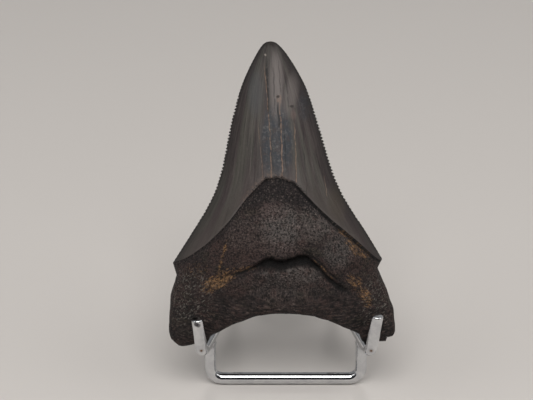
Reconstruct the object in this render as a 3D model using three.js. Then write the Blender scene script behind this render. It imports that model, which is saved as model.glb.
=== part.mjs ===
// Fossil megalodon tooth standing in a chrome wire stand.
// Millimetres, +Z up. The tooth's face looks towards -Y, and the stand rests on Z = 0.
import * as THREE from 'three';
import { ParametricGeometry } from 'three/addons/geometries/ParametricGeometry.js';
import { mergeVertices } from 'three/addons/utils/BufferGeometryUtils.js';

// Driving dimensions of the tooth, in its own upright frame: X across, Z from lobes to tip, -Y the face.
const TOOTH_HEIGHT = 80.1;        // lobe bottoms to tip, along the tooth
const TOOTH_LEAN = 24;            // degrees that the tooth leans back
const TOOTH_SEAT = [-1.05, -4.35, 14.2]; // where the tooth's own origin sits in the stand
const ARCH_FADE = 22;             // height over which the arch between the lobes levels out
const UNDERSIDE_SLOPE = Math.tan(THREE.MathUtils.degToRad(TOOTH_LEAN)); // level when it leans
const UNDERSIDE_FADE = 9;
const UNDERSIDE_LIFT = 0.4;       // keeps the flat facets clear of the shelf arms
const BOTTOM_ROUND = 4.5;         // height of the rounding along the lower edge
const FACE_COLUMNS = 20;
const TOOTH_ROWS = 50;

// Driving dimensions of the stand.
const ROD = 1.6;                  // radius of every rod
const ROD_SIDES = 12;
const BEND_STEPS = 5;             // facets in each bend
const WELD_GAP = 0.3;
const FOOT_HALF = 20.2;           // riser centre line from the middle
const FOOT_BEND = 3.3;
const ARM_HEIGHT = 14.1;          // centre line of the shelf arms
const ELBOW = [22.1, -7.7];       // where prong and shelf arm meet, across and back
const ELBOW_BEND = 2.3;
const PRONG_LEANS = { left: 1, right: 1.45 }; // how far a prong's tip leans outwards
const PRONG_TOPS = { left: 24.4, right: 25.4 };
const ARM_END = [18.2, 8];        // where shelf arm and backrest meet
const ARM_END_BEND = 3;
const ARCH_TOP = [21.9, 59.6];    // centre line of the backrest's top, back and up
const ARCH_HALF = 7.6;            // half width of the arch below its round top
const ARCH_BEND = 7;
const LEG_TOP_SHARE = 0.48;       // how far up the backrest the rear leg meets it
const LEG_REACH = 44;             // rear floor bar behind the front one
const LEG_HALF = 14.5;
const LEG_BEND = 4;

// Outline of the tooth: each pair is height, then distance across. The root and the crown meet
// at a sharp shoulder, so each has its own curve.
const LEFT_ROOT = [
  [0, -27.2], [0.5, -28.5], [1.5, -29.3], [4, -29.8], [9, -29.6], [14, -28.9], [18.7, -27.7],
];
const LEFT_CROWN = [
  [22, -28.7], [30.5, -23.3], [36, -20], [41, -17.6], [47, -15.8], [57, -13.8], [67.3, -11.1],
  [72.6, -8.9], [76.5, -6.9], [79, -5], [TOOTH_HEIGHT, -3.05],
];
const RIGHT_ROOT = [
  [0, 27.4], [1.6, 27.9], [1.9, 29.3], [3.2, 29.7], [7.4, 29.3], [13.7, 27.9], [17, 26.5], [20.5, 25.1],
];
const RIGHT_CROWN = [
  [22.9, 26.4], [30.5, 21.8], [36, 18.2], [41, 15.4], [47, 13], [57, 10], [67.3, 6.6],
  [72.6, 3.9], [76.5, 1.4], [79, -0.9], [TOOTH_HEIGHT, -3.05],
];
// Lower edge: distance across, then height of the arch between the lobes.
const ARCH = [
  [-26, 0], [-23.6, 0.8], [-22, 1.6], [-20.6, 2.5], [-18.9, 3.4], [-16.3, 4.9], [-11.3, 7.8],
  [-5.4, 10], [-0.3, 10.5], [5.5, 10.1], [11.4, 8.2], [17.3, 5.7], [19.4, 4.4], [20.8, 3.3],
  [22, 1.8], [24.5, 1.4], [27.4, 1.2],
];
// Boundary of crown and root, a chevron: distance across, then height.
const CHEVRON = [
  [-29, 22], [-19.2, 27.7], [-9.6, 38.2], [-3, 43.6], [2, 43.6], [11.4, 34.8], [19.4, 28.1], [27, 22],
];
const CHEVRON_BLEND = [-6, 5];    // below and above the chevron, from root shape to crown shape
// Half thickness along the middle: height, then how far the face or the back stands out.
const FACE = [
  [0, 2.6], [4, 3.95], [8, 5.7], [15, 7.9], [22, 9.6], [30, 10.4], [37, 9.3], [44, 7.7], [52, 6.6],
  [60, 5.4], [68, 4], [74, 2.7], [78.5, 1.4], [TOOTH_HEIGHT, 0],
];
const BACK = [
  [0, 2.4], [4, 3.6], [8, 4.6], [15, 5.6], [22, 6], [30, 5.6], [38, 4.6], [46, 3.8],
  [56, 3.1], [66, 2.3], [74, 1.5], [78.5, 0.9], [TOOTH_HEIGHT, 0],
];

// Smooth curve through the points that never swings past them.
function through(points, x) {
  const last = points.length - 1;
  if (x <= points[0][0]) return points[0][1];
  if (x >= points[last][0]) return points[last][1];
  const slope = (i) => (points[i + 1][1] - points[i][1]) / (points[i + 1][0] - points[i][0]);
  const bend = (i) => {
    if (i === 0) return slope(0);
    if (i === last) return slope(last - 1);
    const [before, after] = [slope(i - 1), slope(i)];
    return before * after <= 0 ? 0 : (2 * before * after) / (before + after);
  };
  const i = points.findIndex((point) => point[0] > x) - 1;
  const width = points[i + 1][0] - points[i][0];
  const t = (x - points[i][0]) / width;
  const rise = points[i + 1][1] - points[i][1];
  const [start, end] = [bend(i) * width, bend(i + 1) * width];
  const bow = 3 * rise - 2 * start - end;
  return points[i][1] + t * start + t * t * bow + t * t * t * (rise - start - bow);
}

// Across the shoulder the outline runs straight from the root's curve to the crown's.
function sideAt(root, crown, height) {
  const [low, high] = [root[root.length - 1], crown[0]];
  if (height <= low[0]) return through(root, height);
  if (height >= high[0]) return through(crown, height);
  return THREE.MathUtils.mapLinear(height, low[0], high[0], low[1], high[1]);
}

// A point of the tooth's skin. across runs from -1 to 1, height from 0 to 1, and side is -1 on
// the face, which looks towards -Y, and 1 on the back.
function skinPoint(across, height, side, target) {
  const rise = height * TOOTH_HEIGHT;
  const left = sideAt(LEFT_ROOT, LEFT_CROWN, rise);
  const right = sideAt(RIGHT_ROOT, RIGHT_CROWN, rise);
  const x = THREE.MathUtils.lerp(left, right, (across + 1) / 2);
  const level = rise + through(ARCH, x) * Math.max(0, 1 - rise / ARCH_FADE);
  const aboveChevron = level - through(CHEVRON, x);
  const crownShare = THREE.MathUtils.smoothstep(aboveChevron, ...CHEVRON_BLEND);
  const flatness = THREE.MathUtils.lerp(3, side < 0 ? 2 : 2.4, crownShare);
  const fullness = THREE.MathUtils.lerp(0.4, side < 0 ? 0.8 : 0.6, crownShare);
  const low = 1 - Math.min(1, rise / BOTTOM_ROUND);
  const stand = through(side < 0 ? FACE : BACK, level)
    * Math.max(0, 1 - Math.abs(across) ** flatness) ** fullness
    * Math.cbrt(1 - low ** 3);
  const tuck = Math.max(0, 1 - rise / UNDERSIDE_FADE);
  target.set(x, side * stand, level + tuck * (UNDERSIDE_LIFT + side * UNDERSIDE_SLOPE * stand));
}

// Joins shared vertices and drops the empty triangles where rows shrink to a line or a point.
function closed(geometry) {
  geometry.deleteAttribute('normal');
  geometry.deleteAttribute('uv');
  const merged = mergeVertices(geometry, 1e-4);
  const kept = [];
  for (let i = 0; i < merged.index.count; i += 3) {
    const [a, b, c] = [0, 1, 2].map((k) => merged.index.getX(i + k));
    if (a !== b && b !== c && c !== a) kept.push(a, b, c);
  }
  merged.setIndex(kept);
  return merged;
}

function toothGeometry() {
  const around = (turn, height, target) => {
    const side = turn < 0.5 ? -1 : 1;
    const across = -Math.cos(turn * 2 * Math.PI);
    skinPoint(height === 1 ? 0 : across, height, side, target);
  };
  return closed(new ParametricGeometry(around, 2 * FACE_COLUMNS, TOOTH_ROWS));
}

// A rod's centre line: straight runs between corners, with a round bend at each inner corner.
class RodLine extends THREE.Curve {
  constructor(corners, bends) {
    super();
    this.stations = [];
    const points = corners.map((corner) => new THREE.Vector3(...corner));
    const add = (point, heading) => this.stations.push({ point, heading });
    const headings = points.slice(1).map((point, i) => point.clone().sub(points[i]).normalize());
    add(points[0], headings[0]);
    for (let i = 1; i < points.length - 1; i += 1) {
      const [before, after] = [headings[i - 1], headings[i]];
      const turn = before.angleTo(after);
      const run = bends[i - 1] * Math.tan(turn / 2);
      const start = points[i].clone().addScaledVector(before, -run);
      const inward = after.clone().addScaledVector(before, -Math.cos(turn)).normalize();
      const steps = Math.max(2, Math.round((BEND_STEPS * turn) / (Math.PI / 2)));
      for (let k = 0; k <= steps; k += 1) {
        const angle = (turn * k) / steps;
        const heading = before.clone()
          .multiplyScalar(Math.cos(angle))
          .addScaledVector(inward, Math.sin(angle));
        const point = start.clone()
          .addScaledVector(before, bends[i - 1] * Math.sin(angle))
          .addScaledVector(inward, bends[i - 1] * (1 - Math.cos(angle)));
        add(point, heading);
      }
    }
    add(points[points.length - 1], headings[headings.length - 1]);
  }

  get steps() {
    return this.stations.length - 1;
  }

  getUtoTmapping(u) {
    return u;
  }

  getPoint(t, target = new THREE.Vector3()) {
    return target.copy(this.stations[Math.round(t * this.steps)].point);
  }

  getTangent(t, target = new THREE.Vector3()) {
    return target.copy(this.stations[Math.round(t * this.steps)].heading);
  }
}

// Round section with a flat facet on each of its four sides, so that a floor bar rests flat.
function rodSection() {
  const corner = ROD / Math.cos(Math.PI / ROD_SIDES);
  const points = [];
  for (let k = 0; k < ROD_SIDES; k += 1) {
    const angle = ((k + 0.5) * 2 * Math.PI) / ROD_SIDES;
    points.push(new THREE.Vector2(corner * Math.cos(angle), corner * Math.sin(angle)));
  }
  return new THREE.Shape(points);
}

function rodGeometry(corners, bends) {
  const line = new RodLine(corners, bends);
  const settings = { steps: line.steps, extrudePath: line, bevelEnabled: false };
  return new THREE.ExtrudeGeometry(rodSection(), settings);
}

function named(name, geometry, material) {
  const mesh = new THREE.Mesh(geometry, material);
  mesh.name = name;
  return mesh;
}

function chrome() {
  return new THREE.MeshStandardMaterial({ color: 0xd4d6d8, roughness: 0.06, metalness: 1 });
}

// Prong, elbow and shelf arm on each side, joined behind the tooth by the backrest arch.
function cradleRod() {
  const half = (side, lean, top) => [
    [side * (ELBOW[0] + lean), ELBOW[1], top],
    [side * ELBOW[0], ELBOW[1], ARM_HEIGHT],
    [side * ARM_END[0], ARM_END[1], ARM_HEIGHT],
    [side * ARCH_HALF, ...ARCH_TOP],
  ];
  const left = half(-1, PRONG_LEANS.left, PRONG_TOPS.left);
  const right = half(1, PRONG_LEANS.right, PRONG_TOPS.right);
  const bends = [ELBOW_BEND, ARM_END_BEND, ARCH_BEND];
  const geometry = rodGeometry([...left, ...right.reverse()], [...bends, ...bends.slice().reverse()]);
  return named('cradle_rod', geometry, chrome());
}

// Floor bar in front, with a riser under each shelf arm.
function frontFoot() {
  const top = ARM_HEIGHT - ROD - WELD_GAP;
  const corners = [
    [-FOOT_HALF, 0, top],
    [-FOOT_HALF, 0, ROD],
    [FOOT_HALF, 0, ROD],
    [FOOT_HALF, 0, top],
  ];
  return named('front_foot', rodGeometry(corners, [FOOT_BEND, FOOT_BEND]), chrome());
}

// Two sloping legs from the backrest down to the rear floor bar, set down to touch the floor.
function rearLeg() {
  const start = [ARM_END[0], ARM_END[1], ARM_HEIGHT];
  const end = [ARCH_HALF, ...ARCH_TOP];
  const onBackrest = start.map((value, i) => THREE.MathUtils.lerp(value, end[i], LEG_TOP_SHARE));
  const foot = [LEG_HALF, LEG_REACH, ROD];
  const slope = new THREE.Vector3(...foot).sub(new THREE.Vector3(...onBackrest)).normalize();
  const top = new THREE.Vector3(...onBackrest).addScaledVector(slope, 2 * ROD + WELD_GAP).toArray();
  const mirrored = ([x, y, z]) => [-x, y, z];
  const geometry = rodGeometry([mirrored(top), mirrored(foot), foot, top], [LEG_BEND, LEG_BEND]);
  geometry.computeBoundingBox();
  geometry.translate(0, 0, -geometry.boundingBox.min.z);
  return named('rear_leg', geometry, chrome());
}

function tooth() {
  const material = new THREE.MeshStandardMaterial({ color: 0x37312e, roughness: 0.55, metalness: 0 });
  const mesh = named('tooth', toothGeometry(), material);
  mesh.position.set(...TOOTH_SEAT);
  mesh.rotation.x = THREE.MathUtils.degToRad(-TOOTH_LEAN);
  return mesh;
}

// The object's origin is the middle of its base.
const object = new THREE.Group();
object.add(tooth(), cradleRod(), frontFoot(), rearLeg());
const box = new THREE.Box3().setFromObject(object, true);
const middle = box.getCenter(new THREE.Vector3());
object.position.set(-middle.x, -middle.y, -box.min.z);

export default object;
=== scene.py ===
"""A fossil megalodon tooth standing in a chrome wire stand, on a pale studio floor."""
import math

import bpy
import numpy as np
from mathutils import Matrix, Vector


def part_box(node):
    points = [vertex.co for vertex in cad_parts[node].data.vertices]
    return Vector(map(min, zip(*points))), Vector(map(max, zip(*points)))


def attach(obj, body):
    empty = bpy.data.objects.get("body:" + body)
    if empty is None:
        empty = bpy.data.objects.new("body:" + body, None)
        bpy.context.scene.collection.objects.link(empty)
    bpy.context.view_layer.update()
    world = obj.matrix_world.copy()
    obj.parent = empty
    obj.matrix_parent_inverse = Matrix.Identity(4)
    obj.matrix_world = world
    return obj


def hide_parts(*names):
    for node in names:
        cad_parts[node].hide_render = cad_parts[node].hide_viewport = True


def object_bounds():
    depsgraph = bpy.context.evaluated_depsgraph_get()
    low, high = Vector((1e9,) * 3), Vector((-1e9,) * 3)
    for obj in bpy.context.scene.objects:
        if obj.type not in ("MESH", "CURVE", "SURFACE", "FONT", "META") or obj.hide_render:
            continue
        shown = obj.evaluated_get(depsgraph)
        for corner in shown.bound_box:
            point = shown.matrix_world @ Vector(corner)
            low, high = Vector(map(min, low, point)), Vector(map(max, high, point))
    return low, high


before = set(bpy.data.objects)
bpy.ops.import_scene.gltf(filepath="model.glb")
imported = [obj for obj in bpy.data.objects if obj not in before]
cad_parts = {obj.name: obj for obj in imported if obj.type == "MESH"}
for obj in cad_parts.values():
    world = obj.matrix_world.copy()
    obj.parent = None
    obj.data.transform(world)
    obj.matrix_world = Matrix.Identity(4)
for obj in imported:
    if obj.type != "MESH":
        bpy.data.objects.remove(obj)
CAD_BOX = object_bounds()
scene = bpy.context.scene

# Lengths below are in millimetres unless a comment says otherwise. The stand's own origin is the
# middle of its front floor bar, on the floor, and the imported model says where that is.
MM = 0.001
FOOT_LOW, FOOT_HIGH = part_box("front_foot")
STAND_ORIGIN = Vector(((FOOT_LOW.x + FOOT_HIGH.x) / 2, (FOOT_LOW.y + FOOT_HIGH.y) / 2, 0))
ROD = (FOOT_HIGH.y - FOOT_LOW.y) / 2 / MM

# ---- the tooth's driving dimensions
# The tooth's own frame: X across, Z from the lobes to the tip, -Y the face.
TOOTH_HEIGHT = 80.1
TOOTH_LEAN = math.radians(24)
TOOTH_SEAT = (-1.05, -4.35, 14.2) # the tooth's origin in the stand
ARCH_FADE = 22                    # the arch bends the rows up to this height above it
UNDERSIDE_FADE = 9                # the underside is level, across the lean, up to this height
BOTTOM_ROUND = 4.5                # height of the rounding at the lower edge
FACE_COLUMNS = 140
BACK_COLUMNS = 70
ROOT_ROWS = 130
ROOT_ROW_POWER = 1.6              # packs the root's rows towards its lower edge
SERRATIONS = 68                   # along each cutting edge
SERRATION_PROFILE = (0, 0, 0.45, 1, 0.45)   # depth of the notch at each of its rows
SERRATION_DEPTH = 0.42
SERRATION_REACH = 0.45            # how far a notch runs in from the edge
SERRATION_SPREAD = (0.6, 1.25)    # the least and the most of that depth
SERRATION_SEED = 5
WORN_TIP = (60, 73, 0.85)         # heights between which the notches fade, and how much of them goes
WORN_FOOT = (28, 44, 0.8)
ENAMEL_THICKNESS = 0.35

# Outline: each pair is height, then distance across.
LEFT_ROOT = [
    (0, -27.2), (1.1, -28.4), (2.2, -29.4), (4, -29.8), (9, -29.6), (14, -28.9), (18.7, -27.7),
]
LEFT_CROWN = [
    (22, -28.7), (30.5, -23.3), (36, -20), (41, -17.6), (47, -15.8), (57, -13.8), (67.3, -11.1),
    (72.6, -8.9), (76.5, -6.9), (78.6, -5.6), (79.6, -4.65), (79.95, -4.0), (TOOTH_HEIGHT, -3.05),
]
RIGHT_ROOT = [
    (0, 27.4), (1.6, 27.9), (1.9, 29.3), (3.2, 29.7), (7.4, 29.3), (13.7, 27.9), (17, 26.5), (20.5, 25.1),
]
RIGHT_CROWN = [
    (22.9, 26.4), (30.5, 21.8), (36, 18.2), (41, 15.4), (47, 13), (57, 10), (67.3, 6.6),
    (72.6, 3.9), (76.5, 1.4), (78.6, -0.3), (79.6, -1.45), (79.95, -2.1), (TOOTH_HEIGHT, -3.05),
]
# Lines across the tooth: each pair is distance across, then height. The arch between the lobes
# ends in a step down at each shelf arm.
ARCH = [
    (-26, 0), (-23.6, 0.8), (-22, 1.5), (-20.2, 1.6), (-19.5, 1.9), (-18.9, 3.3), (-18.2, 3.8),
    (-16.3, 4.9), (-11.3, 7.8), (-5.4, 10), (-0.3, 10.5), (5.5, 10.1), (11.4, 8.2), (17.3, 5.7),
    (19.4, 4.4), (20.4, 3.8), (20.9, 2.0), (22, 1.6), (24.5, 1.4), (27.4, 1.2),
]
FACE_BOUNDARY = [
    (-28.6, 22), (-25.1, 23.5), (-19.2, 27.7), (-13.8, 33.2), (-9.6, 38.7), (-7.4, 41.1), (-5.4, 43.1),
    (-3.6, 44.1), (-1.8, 44.2), (0.4, 43.7), (2.6, 43), (4.3, 41.8), (6.3, 39.7), (11.4, 34.8),
    (19.4, 28.1), (24, 24), (25.9, 22.4),
]
BACK_BOUNDARY = [(-28.6, 22), (-20, 24.6), (-8, 26.8), (5, 27), (17, 25), (25.9, 22.4)]
BOUNDARY_TOP = 60.0               # above both boundaries
HALVINGS = 30
CREASE = [
    (-19, 16.5), (-14, 19.2), (-9.5, 20.3), (-6, 21.9), (-3.3, 23), (-1.4, 22.5), (0.6, 22.2), (2.4, 23),
    (4, 23.5), (5.8, 23.5), (7.4, 22.8), (9.2, 21.3), (11.3, 19.1), (13.5, 17.3), (16.9, 15), (21, 13),
]
CREASE_DEPTH = [(-19, 0), (-14, 0.4), (-9, 0.7), (-5, 1.9), (6.5, 2.1), (11, 1.3), (15, 0.9), (20, 0)]
FOLD_BELOW, FOLD_ABOVE = 1.7, 0.55   # how far the fold opens below its line and above it
# Distances across where a part of the fold begins, is whole, starts to end, and has ended.
FOLD_PAINTED_SHADE = (-17, -11, 15, 19)
FOLD_MIDDLE = (-7, -3.5, 6, 9)
FOLD_RIGHT = (6, 9, 14, 18)
FINE_FOLD = (4, 7, 13, 17)        # a second fold, above the first
FINE_FOLD_RISE = 1.5              # from the first fold up to the second
FINE_FOLD_DEPTH, FINE_FOLD_REACH = 0.6, 0.35
# The fold's painted shade, darkened into the root's colour: its reach, and the drop from the fold's line
# to its middle. Each is the number everywhere, what the middle adds, and what the right adds.
SHADE_REACHES = (0.42, 1.15, 0.5)
SHADE_DROPS = (0.2, 0.6, 0.15)
FINE_SHADE, FINE_SHADE_REACH = 0.85, 0.4
# Where the root's shape turns into the crown's: distance across, then height.
SHAPE_CHANGE = [
    (-29, 22), (-19.2, 27.7), (-9.6, 38.2), (-3, 43.6), (2, 43.6), (11.4, 34.8), (19.4, 28.1), (27, 22),
]
SHAPE_BLEND = (-6, 5)
# Cross sections: how flat the middle is, then how full the sides are.
ROOT_SECTION = (3, 0.4)
CROWN_FACE_SECTION = (2, 0.85)
CROWN_BACK_SECTION = (2.4, 0.65)
# Half thickness along the middle: height, then how far the face or the back stands out.
FACE = [
    (0, 2.6), (4, 3.95), (8, 5.7), (15, 7.9), (22, 9.6), (30, 10.4), (37, 9.3), (44, 7.7), (52, 6.6),
    (60, 5.4), (68, 4), (74, 2.7), (78.5, 1.4), (TOOTH_HEIGHT, 0),
]
BACK = [
    (0, 2.4), (4, 3.6), (8, 4.6), (15, 5.6), (22, 6), (30, 5.6), (38, 4.6), (46, 3.8),
    (56, 3.1), (66, 2.3), (74, 1.5), (78.5, 0.9), (TOOTH_HEIGHT, 0),
]

# Irregular lines: the width of their steps, the layers of noise in them, and how high they are.
STEP_CELL, STEP_LAYERS = 1.5, 3
BOUNDARY_STEPS, BOUNDARY_SEED = 0.05, 4
PEAK_STEPS, PEAK_REACH = 0.17, 8  # added at the peak of the enamel's lower edge
CREASE_STEPS, CREASE_SEED = 0.3, 7

# Relief. Each noise is its strength, cell, seed and layers.
ROOT_SWELLS = (0.3, 5.5, 11, 3)
ROOT_GRAIN = (0.09, 0.9, 23, 2)
CROWN_STREAKS = (0.05, 1.3, 31, 2)
CROWN_SWELLS = (0.06, 7, 37, 2)
EDGE_REACH = 1.6                  # relief fades out this close to the outline
EDGE_ROUGHNESS = 0.35             # the share of the root's roughness that stays at the outline
ROOT_SINKS = (4, 16)              # heights between which the root sinks below the enamel's surface
STREAKS_ACROSS, STREAK_LENGTH = 14, 40
FOLD_SWELL = (0.35, 3, 2)         # height of the swelling below the fold, distance down, and reach
UNDERCUT = (0.1, 0.45)            # the root under the enamel: depth on the left, and added on the right
UNDERCUT_REACH, UNDERCUT_GROWS = 0.7, (-1, 6)
ENAMEL_ROUNDING = (0.16, 0.5)     # depth and reach of the rounding at the enamel's lower edge
PIT_COUNT, PIT_SEED = 110, 41
PIT_ACROSS, PIT_HEIGHTS, PIT_RADII = (-27, 26), (3, 34), (0.25, 0.6)
PIT_DEPTH = 0.6                   # as a share of its radius
PITS_ON_FACE = 0.6                # share of the pits on the face

# ---- the stand's driving dimensions
ROD_SIDES = 40
BEND_STEPS = 18                   # rings in a quarter turn
FOOT_HALF = 20.2
FOOT_BEND = 3.3
ARM_HEIGHT = 14.1
ELBOW = (22.1, -7.7)
ELBOW_BEND = 2.3
PRONG_LEANS = {-1: 1.0, 1: 1.45}
PRONG_TOPS = {-1: 24.4, 1: 25.4}
ARM_END = (18.2, 8)
ARM_END_BEND = 3
ARCH_TOP = (21.9, 59.6)
ARCH_HALF = 7.6
ARCH_BEND = 7
LEG_TOP_SHARE = 0.48
LEG_REACH = 44
LEG_HALF = 14.5
LEG_BEND = 4
TIP_DOME = 0.85                   # height of the rounding at a prong's flat end
TIP_SQUARENESS = 0.6
END_RINGS = 8
WELD_FLARE = 0.2                  # how much a rod widens where it is welded on
WELD_WIDTH = 0.45
WELD_FIT = 0.97                   # a rod's width inside the rod that it is welded to
WELD_LENGTH = 3.0                 # from a welded end, in the middle of the rod that it meets


# ---- curves and noise
NOISE_VALUES = 4096
NOISE_STRIDES = np.array((73, 1031, 2909))


def through(points, x):
    """Smooth curve through the points that never swings past them, at each x."""
    known, values = np.array(points, float).T
    slopes = np.diff(values) / np.diff(known)
    before, after = slopes[:-1], slopes[1:]
    same_way = before * after > 0
    total = np.where(same_way, before + after, 1)
    bends = np.concatenate([slopes[:1], np.where(same_way, 2 * before * after / total, 0), slopes[-1:]])
    x = np.clip(x, known[0], known[-1])
    i = np.clip(np.searchsorted(known, x, side="right") - 1, 0, len(slopes) - 1)
    width = known[i + 1] - known[i]
    t = (x - known[i]) / width
    rise = values[i + 1] - values[i]
    start, end = bends[i] * width, bends[i + 1] * width
    return values[i] + t * start + t**2 * (3 * rise - 2 * start - end) + t**3 * (start + end - 2 * rise)


def smooth(x, low, high):
    """0 below low, 1 above high, and a smooth step between."""
    t = np.clip((x - low) / (high - low), 0, 1)
    return t * t * (3 - 2 * t)


def window(x, rise_from, rise_to, fall_from, fall_to):
    """1 in the middle and 0 outside, with a smooth step at each side."""
    return smooth(x, rise_from, rise_to) * (1 - smooth(x, fall_from, fall_to))


def hump(x, reach, power=2):
    """1 at 0, falling away to both sides within the reach."""
    return np.exp(-((x / reach) ** power))


def noise(points, cell, seed):
    """Smooth noise from -1 to 1 at each point, with one random value for each corner of a cell."""
    table = np.random.default_rng(seed).uniform(-1, 1, NOISE_VALUES)
    scaled = points / cell
    corner = np.floor(scaled).astype(np.int64)
    t = scaled - corner
    t = t * t * (3 - 2 * t)
    total = 0
    for step in np.ndindex(2, 2, 2):
        entry = (corner + np.array(step)) @ NOISE_STRIDES % NOISE_VALUES
        weight = np.prod(np.where(np.array(step) == 1, t, 1 - t), axis=-1)
        total = total + weight * table[entry]
    return total


def layered(points, strength, cell, seed, layers):
    """Noise in layers, each with half the cell and half the strength of the one before."""
    return strength * sum(noise(points, cell / 2**i, seed + i) / 2**i for i in range(layers))


# ---- the tooth's mesh
def side_at(root, crown, height):
    """Across the shoulder the outline runs straight from the root's curve to the crown's."""
    (low, low_x), (high, high_x) = root[-1], crown[0]
    shoulder = np.interp(height, [low, high], [low_x, high_x])
    above = np.where(height >= high, through(crown, height), shoulder)
    return np.where(height <= low, through(root, height), above)


def place_across(across, rise):
    left = side_at(LEFT_ROOT, LEFT_CROWN, rise)
    right = side_at(RIGHT_ROOT, RIGHT_CROWN, rise)
    return left + (right - left) * (across + 1) / 2, (right - left) / 2


def level_of(x, rise):
    return rise + through(ARCH, x) * np.maximum(0, 1 - rise / ARCH_FADE)


def ragged(points, x, strength, seed):
    """The line through the points, with small irregular steps."""
    place = np.stack([x, np.zeros_like(x), np.zeros_like(x)], axis=-1)
    return through(points, x) + layered(place, strength, STEP_CELL, seed, STEP_LAYERS)


def boundary_at(boundary, x):
    return ragged(boundary, x, BOUNDARY_STEPS + PEAK_STEPS * hump(x, PEAK_REACH, 4), BOUNDARY_SEED)


def above_crease(x, level):
    """Height above the line of the fold across the root."""
    return level - ragged(CREASE, x, CREASE_STEPS, CREASE_SEED)


def boundary_rise(across, boundary):
    """How far up each column meets the enamel's lower edge, found by halving."""
    low, high = np.zeros_like(across), np.full_like(across, BOUNDARY_TOP)
    for _ in range(HALVINGS):
        middle = (low + high) / 2
        x, _ = place_across(across, middle)
        above = level_of(x, middle) > boundary_at(boundary, x)
        low, high = np.where(above, low, middle), np.where(above, middle, high)
    return (low + high) / 2


def tooth_rows(across, boundary):
    """The rise of every row at each column: rows of root, then rows of crown."""
    meets = boundary_rise(across, boundary)
    root = np.linspace(0, 1, ROOT_ROWS + 1)[:, None] ** ROOT_ROW_POWER * meets
    crown_share = np.linspace(0, 1, SERRATIONS * len(SERRATION_PROFILE) + 1)[:, None]
    return np.vstack([root, meets + (TOOTH_HEIGHT - meets) * crown_share])


def skin(across, rise, side):
    """One side's plain skin: points and facts about them. side is -1 on the face, 1 on the back."""
    x, half_width = place_across(across, rise)
    level = level_of(x, rise)
    share = smooth(level - through(SHAPE_CHANGE, x), *SHAPE_BLEND)
    on_face = side < 0
    sections = zip(ROOT_SECTION, CROWN_FACE_SECTION if on_face else CROWN_BACK_SECTION)
    flatness, fullness = [root + share * (crown - root) for root, crown in sections]
    low = 1 - np.minimum(1, rise / BOTTOM_ROUND)
    stand = through(FACE if on_face else BACK, level)
    stand = stand * np.maximum(0, 1 - np.abs(across) ** flatness) ** fullness * np.cbrt(1 - low**3)
    tuck = np.maximum(0, 1 - rise / UNDERSIDE_FADE)
    z = level + tuck * side * math.tan(TOOTH_LEAN) * stand
    boundary = FACE_BOUNDARY if on_face else BACK_BOUNDARY
    return {
        "points": np.stack([x, side * stand, z], axis=-1),
        "across": np.broadcast_to(across, x.shape),
        "level": level,
        "enamel": level - boundary_at(boundary, x),
        "edge": (1 - np.abs(across)) * half_width,
        "side": np.full_like(x, side),
    }


def outward(points):
    """Unit normals of a grid whose columns close on themselves."""
    along = np.roll(points, -1, axis=1) - np.roll(points, 1, axis=1)
    up = np.gradient(points, axis=0)
    normals = np.cross(along, up)
    return normals / np.maximum(np.linalg.norm(normals, axis=-1, keepdims=True), 1e-9)


def cut_serrations(grid):
    """Cuts notches straight in from both cutting edges, smaller towards the worn tip."""
    rows = np.arange(grid["level"].shape[0]) - (ROOT_ROWS + 1)
    notch = np.array(SERRATION_PROFILE)[rows % len(SERRATION_PROFILE)] * (rows > 0)
    random = np.random.default_rng(SERRATION_SEED)
    varied = random.uniform(*SERRATION_SPREAD, (SERRATIONS + 2, 2))
    uneven = varied[np.clip(rows // len(SERRATION_PROFILE), 0, SERRATIONS)] * notch[:, None]
    tip_from, tip_to, tip_wear = WORN_TIP
    foot_from, foot_to, foot_wear = WORN_FOOT
    worn = tip_wear * smooth(grid["level"], tip_from, tip_to)
    worn = worn + foot_wear * (1 - smooth(grid["level"], foot_from, foot_to))
    depth = np.where(grid["across"] < 0, uneven[:, :1], uneven[:, 1:])
    inwards = SERRATION_DEPTH * (1 - worn) * depth * hump(grid["edge"], SERRATION_REACH)
    grid["points"][..., 0] -= np.sign(grid["across"]) * inwards


def fold(x, above):
    """Depth of the fold across the root: steep under its upper lip, and opening gently below.
    A second, finer fold runs above it on the right."""
    gentle, steep = hump(above, FOLD_BELOW), hump(above, FOLD_ABOVE)
    fine = FINE_FOLD_DEPTH * window(x, *FINE_FOLD) * hump(above - FINE_FOLD_RISE, FINE_FOLD_REACH)
    return through(CREASE_DEPTH, x) * np.where(above > 0, steep, gentle) + fine


def fold_painted_shade(x, above):
    """How much painted shade the fold's colour gets: 1 in its depth, thin towards its ends."""
    middle, right = window(x, *FOLD_MIDDLE), window(x, *FOLD_RIGHT)
    reach, drop = [
        everywhere + in_middle * middle + on_right * right
        for everywhere, in_middle, on_right in (SHADE_REACHES, SHADE_DROPS)
    ]
    shade = hump(above + drop, reach, 4) * window(x, *FOLD_PAINTED_SHADE)
    fine = window(x, *FINE_FOLD) * hump(above - FINE_FOLD_RISE, FINE_SHADE_REACH)
    return np.maximum(shade, FINE_SHADE * fine)


def pits(x, level, side):
    """Depth of small round pits scattered over the root."""
    random = np.random.default_rng(PIT_SEED)
    depth = np.zeros_like(x)
    for _ in range(PIT_COUNT):
        centre_x, centre_z = random.uniform(*PIT_ACROSS), random.uniform(*PIT_HEIGHTS)
        radius = random.uniform(*PIT_RADII)
        on_side = side == (-1 if random.uniform() < PITS_ON_FACE else 1)
        away = ((x - centre_x) ** 2 + (level - centre_z) ** 2) / radius**2
        depth = np.maximum(depth, on_side * radius * PIT_DEPTH * np.exp(-away))
    return depth


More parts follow.
